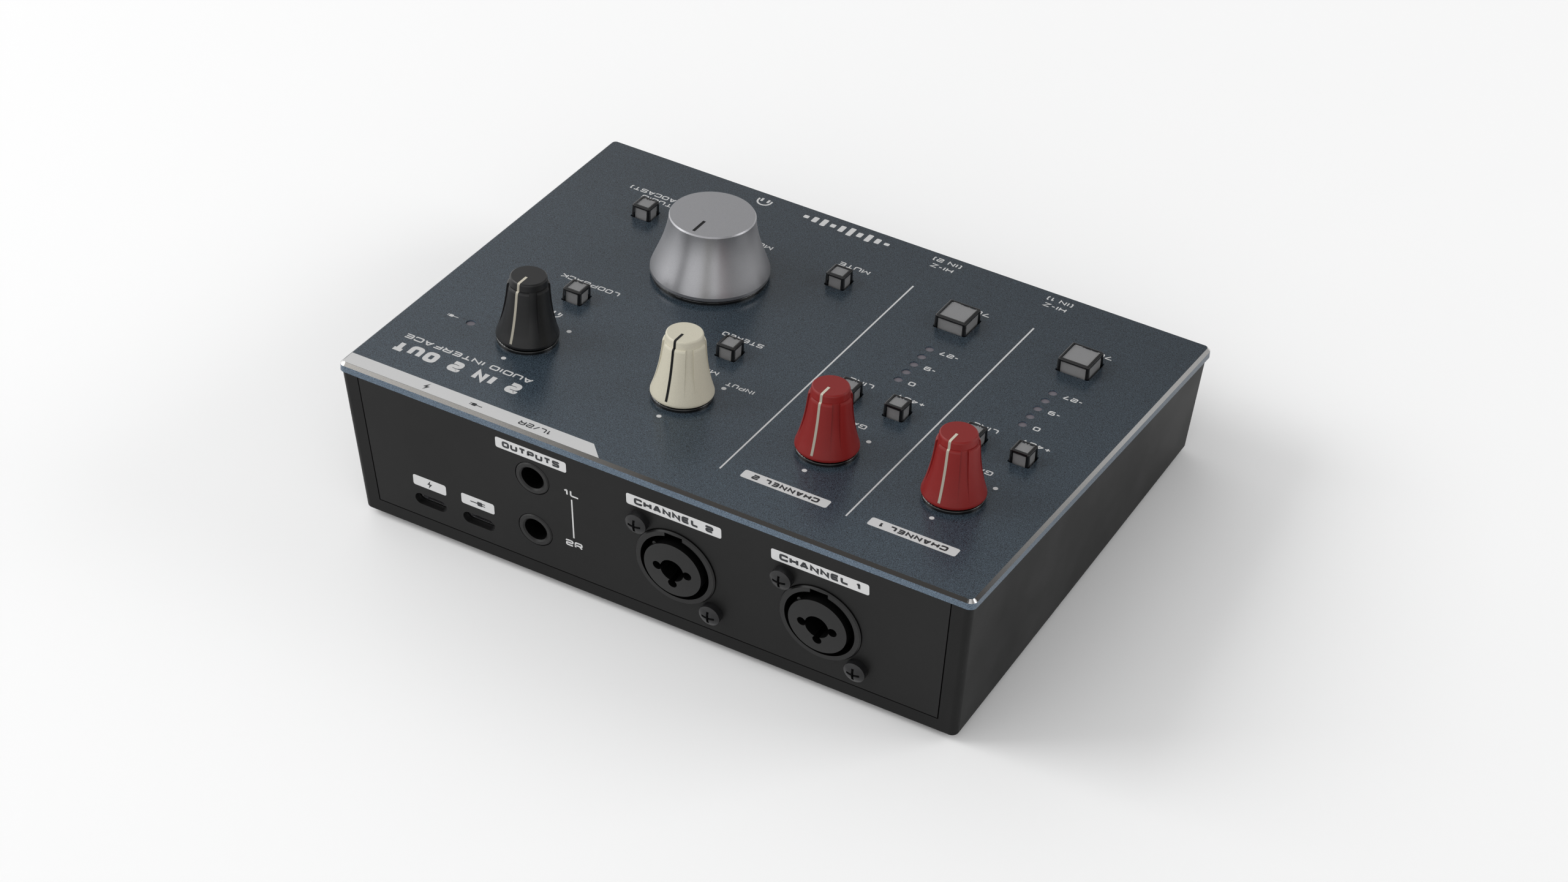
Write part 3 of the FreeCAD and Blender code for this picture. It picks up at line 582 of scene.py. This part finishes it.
def rear_printing():
    """Rear panel printing, in mm: across to the right seen from behind, and up from the plate's edge."""
    top = DECK @ Vector((0, 65.2 * MM, -2.6 * MM))
    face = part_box("rear_panel")[1].y
    plane = Matrix(((-1, 0, 0, 0), (0, 0, 1, face), (0, 1, 0, top.z), (0, 0, 0, 1)))
    pale = Print("rear_print_pale", plane, "print_pale", PALE_LIFT)
    dark = Print("rear_print_dark", plane, "print_dark", DARK_LIFT)
    pale.plate(-43.5, -5.65, -22.9, -2.3)
    dark.text("OUTPUTS", -33.2, -3.98, 1.95, bold=0.31, fit=16.7)
    pale.plate(-69.7, -29.35, -59.8, -26.0)
    dark.bolt(-64.75, -27.7, 2.7)
    pale.plate(-55.2, -29.35, -45.35, -26.0)
    dark.plug(-50.2, -27.7, 2.3)
    pale.stroke([(-21.8, -13.9), (-21.8, -26.7)], 0.4)
    pale.text("1L", -21.8, -11.9, 2.0, bold=0.23, fit=4.4)
    pale.text("2R", -21.8, -28.8, 2.0, bold=0.23, fit=4.9)
    pale.plate(-5.7, -7.8, 21.2, -4.35)
    dark.text("CHANNEL 2", 7.75, -6.08, 2.1, bold=0.32, fit=22.5)
    pale.plate(35.1, -7.8, 62.05, -4.35)
    dark.text("CHANNEL 1", 48.6, -6.08, 2.1, bold=0.32, fit=22.5)
    pale.done()
    dark.done()


# ---- small pieces ----
def block(name, corners, body, paint, bevel):
    """Bevelled bar between two corners, mm in the deck frame, riding on a body."""
    (x0, y0, z0), (x1, y1, z1) = corners
    bm = bmesh.new()
    bmesh.ops.create_cube(bm, size=1.0)
    for v in bm.verts:
        v.co = Vector(((x0 + x1) / 2 + v.co.x * (x1 - x0), (y0 + y1) / 2 + v.co.y * (y1 - y0),
                       (z0 + z1) / 2 + v.co.z * (z1 - z0)))
    bmesh.ops.bevel(bm, geom=bm.edges[:], offset=bevel, segments=2, affect="EDGES")
    for v in bm.verts:
        v.co = DECK @ (v.co * MM)
    me = bpy.data.meshes.new(name)
    bm.to_mesh(me)
    bm.free()
    me.materials.append(PAINT[paint])
    ob = bpy.data.objects.new(name, me)
    bpy.context.scene.collection.objects.link(ob)
    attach(ob, body)


def small_pieces():
    """Dark inlay in the monitor knob's pointer groove."""
    x, y = KNOBS["monitor"]
    block("monitor_pointer", ((x - 0.4, y + 4.03, 17.71), (x + 0.4, y + 9.67, 17.98)),
          "control_monitor", "pointer_black", 0.04)


# ---- floor, lights and camera ----
FLOOR_HALF = 3.0
CAMERA_AT = (-0.4303314, 0.7220775, 0.7477017)
CAMERA_LOOK = (0.38430662, -0.64672106, -0.65883252)
CAMERA_ROLL = -1.0165     # degrees
LENS, SENSOR = 100.0, 36.0


def floor():
    me = bpy.data.meshes.new("floor")
    s = FLOOR_HALF
    me.from_pydata([(-s, -s, 0), (s, -s, 0), (s, s, 0), (-s, s, 0)], [], [(0, 1, 2, 3)])
    ob = bpy.data.objects.new("floor", me)
    bpy.context.scene.collection.objects.link(ob)
    me.materials.append(finish("floor_white", (250, 250, 250), 0.9, spread=0.01))


def area(name, at, size, power):
    """Rectangular light that looks at the origin."""
    data = bpy.data.lights.new(name, "AREA")
    data.shape = "RECTANGLE"
    data.size, data.size_y = size
    data.energy = power
    ob = bpy.data.objects.new(name, data)
    ob.matrix_world = Vector(at).to_track_quat("Z", "Y").to_matrix().to_4x4()
    ob.location = at
    bpy.context.scene.collection.objects.link(ob)


def world(low, high):
    """Soft studio surround, brighter near the horizon than overhead and dimmer on one side."""
    w = bpy.data.worlds.new("studio")
    w.use_nodes = True
    tree = w.node_tree
    where = tree.nodes.new("ShaderNodeTexCoord")
    split = tree.nodes.new("ShaderNodeSeparateXYZ")
    tree.links.new(where.outputs["Generated"], split.inputs[0])
    back = tree.nodes["Background"]
    back.inputs["Color"].default_value = (1, 1, 1, 1)
    height = remap(tree, split.outputs["Z"], 0.1, 0.9, low, high)
    round_about = maths(tree, "ADD", split.outputs["X"], split.outputs["Y"])
    dimmer = remap(tree, round_about, -0.5, -0.1, 0.45, 1.35)
    tree.links.new(maths(tree, "MULTIPLY", height, dimmer), back.inputs["Strength"])
    bpy.context.scene.world = w


def camera():
    data = bpy.data.cameras.new("camera")
    data.lens = LENS
    data.sensor_width = SENSOR
    ob = bpy.data.objects.new("camera", data)
    look = Vector(CAMERA_LOOK).normalized()
    turn = (-look).to_track_quat("Z", "Y").to_matrix().to_4x4()
    roll = Matrix.Rotation(math.radians(CAMERA_ROLL), 4, "Z")
    ob.matrix_world = Matrix.Translation(CAMERA_AT) @ turn @ roll
    bpy.context.scene.collection.objects.link(ob)
    bpy.context.scene.camera = ob


deck_printing()
rear_printing()
small_pieces()
floor()
world(1.05, 0.5)
area("key", (1.3, 0.5, 1.1), (0.9, 0.9), 12)
area("back", (-1.35, -0.75, 0.8), (0.9, 0.6), 7)
camera()
bpy.context.scene.view_settings.view_transform = "Standard"
